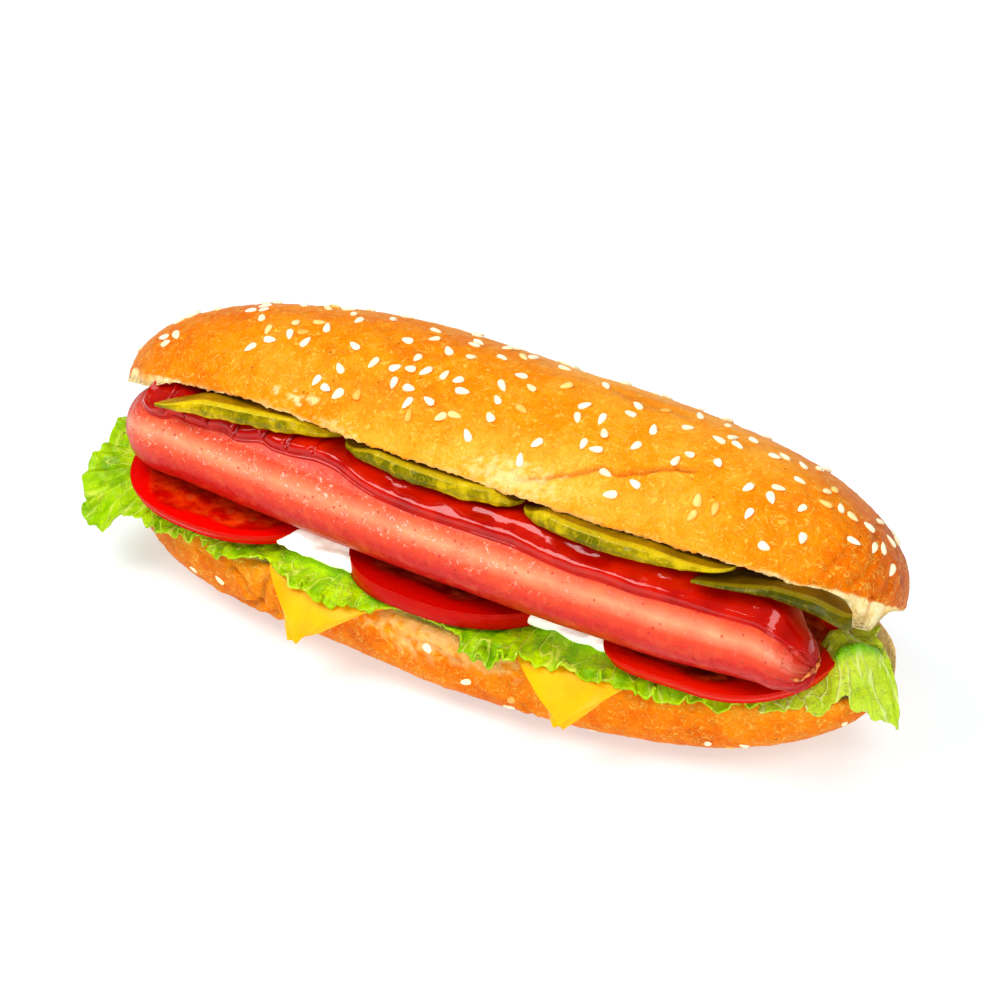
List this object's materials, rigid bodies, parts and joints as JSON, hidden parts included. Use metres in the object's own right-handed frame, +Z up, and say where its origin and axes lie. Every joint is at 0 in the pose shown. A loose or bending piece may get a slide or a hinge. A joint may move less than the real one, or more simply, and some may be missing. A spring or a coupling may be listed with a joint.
{
  "type": "cheese hot dog",
  "caption": "Long hinged sesame bun lying open at the front, filled with a frankfurter, ketchup, pickle slices, tomato, mayonnaise, lettuce and cheese.",
  "frame": {"origin": "centre of the flat spot under the bun's base, on the surface it rests on", "axes": "+X along the bun towards the end where the pickle slices run down; +Z up, out of the flat underside; the open front faces -Y"},
  "size_m": [0.224, 0.0834, 0.0815],
  "materials": {
    "crust": "golden baked crust, satin, with pale sesame seeds",
    "frankfurter": "moist smooth casing with fine bumps",
    "ketchup": "wet, very glossy",
    "pickle": "wet, bumpy skin and smooth cut faces",
    "tomato": "wet cut face with a thin skin",
    "mayonnaise": "smooth and glossy",
    "cheese": "smooth, satin",
    "lettuce": "thin, slightly translucent, veined"
  },
  "bodies": {
    "root": {"bun": "crust", "sausage": "frankfurter", "ketchup": "ketchup", "pickle_1": "pickle", "pickle_2": "pickle", "pickle_3": "pickle", "pickle_4": "pickle", "tomato_1": "tomato", "tomato_2": "tomato", "tomato_3": "tomato", "mayonnaise_1": "mayonnaise", "mayonnaise_2": "mayonnaise", "cheese_1": "cheese", "cheese_2": "cheese", "lettuce_left": "lettuce", "lettuce_front_left": "lettuce", "lettuce_front_right": "lettuce", "lettuce_right": "lettuce"}
  },
  "joints": []
}
